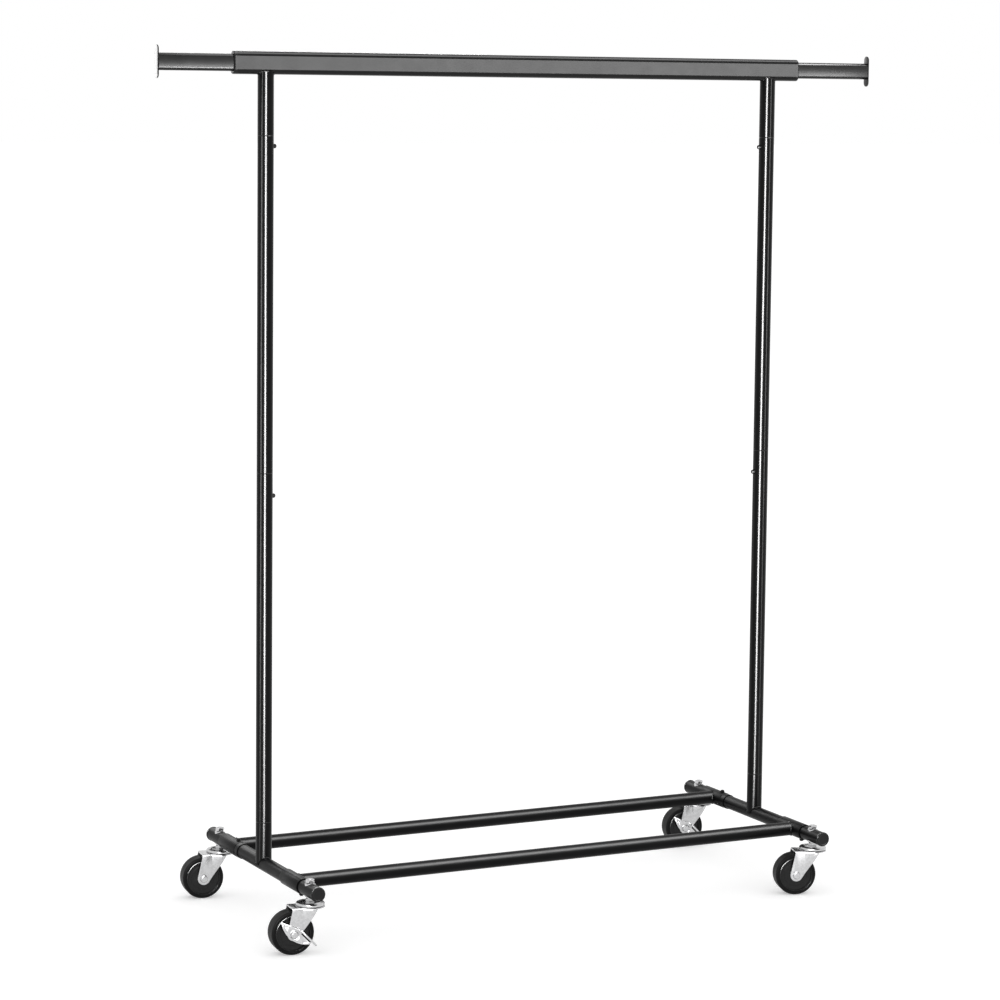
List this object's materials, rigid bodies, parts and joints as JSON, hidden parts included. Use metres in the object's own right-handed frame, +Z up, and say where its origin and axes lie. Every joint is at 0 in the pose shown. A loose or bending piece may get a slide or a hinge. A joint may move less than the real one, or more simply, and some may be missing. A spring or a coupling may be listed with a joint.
{
  "type": "clothes rack",
  "caption": "Rolling clothes rack with a telescopic flat oval hanging rail on plug-together uprights and a tubular base on swivel casters.",
  "frame": {"origin": "floor under the middle of the rack", "axes": "+X along the hanging rail, +Y to the back, +Z up"},
  "size_m": [1.435, 0.5, 1.5535],
  "materials": {
    "rail_paint": "gloss black powder coat",
    "bar_finish": "gloss gunmetal black coat",
    "upright_paint": "gloss black paint",
    "base_paint": "satin black paint",
    "black_plastic": "moulded, slightly glossy",
    "button_black": "blackened steel",
    "zinc": "bright zinc plate",
    "ball_steel": "polished",
    "spring_steel": "tempered",
    "wheel_rubber": "smooth black rubber"
  },
  "bodies": {
    "frame": {"hang_rail": "rail_paint", "left_rail_bushing": "black_plastic", "left_rail_stub": "upright_paint", "left_upper_upright": "upright_paint", "left_lower_upright": "upright_paint", "left_base_stub": "upright_paint", "left_crossbar": "base_paint", "right_rail_bushing": "black_plastic", "right_rail_stub": "upright_paint", "right_upper_upright": "upright_paint", "right_lower_upright": "upright_paint", "right_base_stub": "upright_paint", "right_crossbar": "base_paint", "front_base_rail": "base_paint", "back_base_rail": "base_paint", "stop_collars": "base_paint", "crossbar_end_caps": "black_plastic", "stem_nuts": "zinc", "stem_washers": "zinc", "caster_stems": "zinc", "raceway_caps": "zinc", "swivel_balls": "ball_steel", "snap_springs": "spring_steel", "front_left_sleeve": "base_paint", "back_left_sleeve": "base_paint", "front_right_sleeve": "base_paint", "back_right_sleeve": "base_paint"},
    "left_extension": {"left_extension_bar": "bar_finish", "left_end_plate": "bar_finish", "left_bar_guide": "black_plastic"},
    "right_extension": {"right_extension_bar": "bar_finish", "right_end_plate": "bar_finish", "right_bar_guide": "black_plastic"},
    "front_left_caster": {"front_left_fork": "zinc", "front_left_axle": "zinc", "front_left_wheel_bush": "ball_steel"},
    "front_left_rolling_wheel": {"front_left_wheel": "wheel_rubber"},
    "front_left_brake": {"front_left_brake_lever": "zinc"},
    "back_left_caster": {"back_left_fork": "zinc", "back_left_axle": "zinc", "back_left_wheel_bush": "ball_steel"},
    "back_left_rolling_wheel": {"back_left_wheel": "wheel_rubber"},
    "front_right_caster": {"front_right_fork": "zinc", "front_right_axle": "zinc", "front_right_wheel_bush": "ball_steel"},
    "front_right_rolling_wheel": {"front_right_wheel": "wheel_rubber"},
    "back_right_caster": {"back_right_fork": "zinc", "back_right_axle": "zinc", "back_right_wheel_bush": "ball_steel"},
    "back_right_rolling_wheel": {"back_right_wheel": "wheel_rubber"},
    "back_right_brake": {"back_right_brake_lever": "zinc"},
    "left_upper_button_body": {"left_upper_button": "button_black"},
    "left_lower_button_body": {"left_lower_button": "button_black"},
    "right_upper_button_body": {"right_upper_button": "button_black"},
    "right_lower_button_body": {"right_lower_button": "button_black"},
    "front_left_sleeve_button_body": {"front_left_sleeve_button": "button_black"},
    "back_left_sleeve_button_body": {"back_left_sleeve_button": "button_black"},
    "front_right_sleeve_button_body": {"front_right_sleeve_button": "button_black"},
    "back_right_sleeve_button_body": {"back_right_sleeve_button": "button_black"}
  },
  "joints": [
    {"name": "left_bar_slide", "type": "slide", "parent": "frame", "child": "left_extension", "axis": [-1, 0, 0], "range_m": [-0.1365, 0.0765]},
    {"name": "right_bar_slide", "type": "slide", "parent": "frame", "child": "right_extension", "axis": [1, 0, 0], "range_m": [-0.1545, 0.0585]},
    {"name": "front_left_swivel", "type": "hinge", "parent": "frame", "child": "front_left_caster", "pos_m": [-0.507, -0.213, 0.0827], "axis": [0, 0, 1], "continuous": true},
    {"name": "front_left_roll", "type": "hinge", "parent": "front_left_caster", "child": "front_left_rolling_wheel", "pos_m": [-0.54131, -0.20939, 0.038], "axis": [-0.1045, -0.9945, 0], "continuous": true},
    {"name": "front_left_brake_press", "type": "hinge", "parent": "front_left_caster", "child": "front_left_brake", "pos_m": [-0.54131, -0.20939, 0.038], "axis": [0.1045, 0.9945, 0], "range_deg": [0, 20]},
    {"name": "back_left_swivel", "type": "hinge", "parent": "frame", "child": "back_left_caster", "pos_m": [-0.507, 0.213, 0.0827], "axis": [0, 0, 1], "continuous": true},
    {"name": "back_left_roll", "type": "hinge", "parent": "back_left_caster", "child": "back_left_rolling_wheel", "pos_m": [-0.54116, 0.2178, 0.038], "axis": [-0.1392, -0.9903, 0], "continuous": true},
    {"name": "front_right_swivel", "type": "hinge", "parent": "frame", "child": "front_right_caster", "pos_m": [0.507, -0.213, 0.0827], "axis": [0, 0, 1], "continuous": true},
    {"name": "front_right_roll", "type": "hinge", "parent": "front_right_caster", "child": "front_right_rolling_wheel", "pos_m": [0.47401, -0.20291, 0.038], "axis": [-0.2924, -0.9563, 0], "continuous": true},
    {"name": "back_right_swivel", "type": "hinge", "parent": "frame", "child": "back_right_caster", "pos_m": [0.507, 0.213, 0.0827], "axis": [0, 0, 1], "continuous": true},
    {"name": "back_right_roll", "type": "hinge", "parent": "back_right_caster", "child": "back_right_rolling_wheel", "pos_m": [0.47292, 0.2184, 0.038], "axis": [-0.1564, -0.9877, 0], "continuous": true},
    {"name": "back_right_brake_press", "type": "hinge", "parent": "back_right_caster", "child": "back_right_brake", "pos_m": [0.47292, 0.2184, 0.038], "axis": [0.1564, 0.9877, 0], "range_deg": [0, 20]},
    {"name": "left_upper_button_press", "type": "slide", "parent": "frame", "child": "left_upper_button_body", "axis": [1, 0, 0], "range_m": [-0.0055, 0], "stiffness_N_per_m": 1500, "deforming": ["snap_springs"]},
    {"name": "left_lower_button_press", "type": "slide", "parent": "frame", "child": "left_lower_button_body", "axis": [1, 0, 0], "range_m": [-0.0055, 0], "stiffness_N_per_m": 1500, "deforming": ["snap_springs"]},
    {"name": "right_upper_button_press", "type": "slide", "parent": "frame", "child": "right_upper_button_body", "axis": [-1, 0, 0], "range_m": [-0.0055, 0], "stiffness_N_per_m": 1500, "deforming": ["snap_springs"]},
    {"name": "right_lower_button_press", "type": "slide", "parent": "frame", "child": "right_lower_button_body", "axis": [-1, 0, 0], "range_m": [-0.0055, 0], "stiffness_N_per_m": 1500, "deforming": ["snap_springs"]},
    {"name": "front_left_sleeve_button_press", "type": "slide", "parent": "frame", "child": "front_left_sleeve_button_body", "axis": [0, 0, -1], "range_m": [-0.0045, 0], "stiffness_N_per_m": 1500, "deforming": ["snap_springs"]},
    {"name": "back_left_sleeve_button_press", "type": "slide", "parent": "frame", "child": "back_left_sleeve_button_body", "axis": [0, 0, 1], "range_m": [-0.0045, 0], "stiffness_N_per_m": 1500, "deforming": ["snap_springs"]},
    {"name": "front_right_sleeve_button_press", "type": "slide", "parent": "frame", "child": "front_right_sleeve_button_body", "axis": [0, 0, -1], "range_m": [-0.0045, 0], "stiffness_N_per_m": 1500, "deforming": ["snap_springs"]},
    {"name": "back_right_sleeve_button_press", "type": "slide", "parent": "frame", "child": "back_right_sleeve_button_body", "axis": [0, 0, 1], "range_m": [-0.0045, 0], "stiffness_N_per_m": 1500, "deforming": ["snap_springs"]}
  ]
}
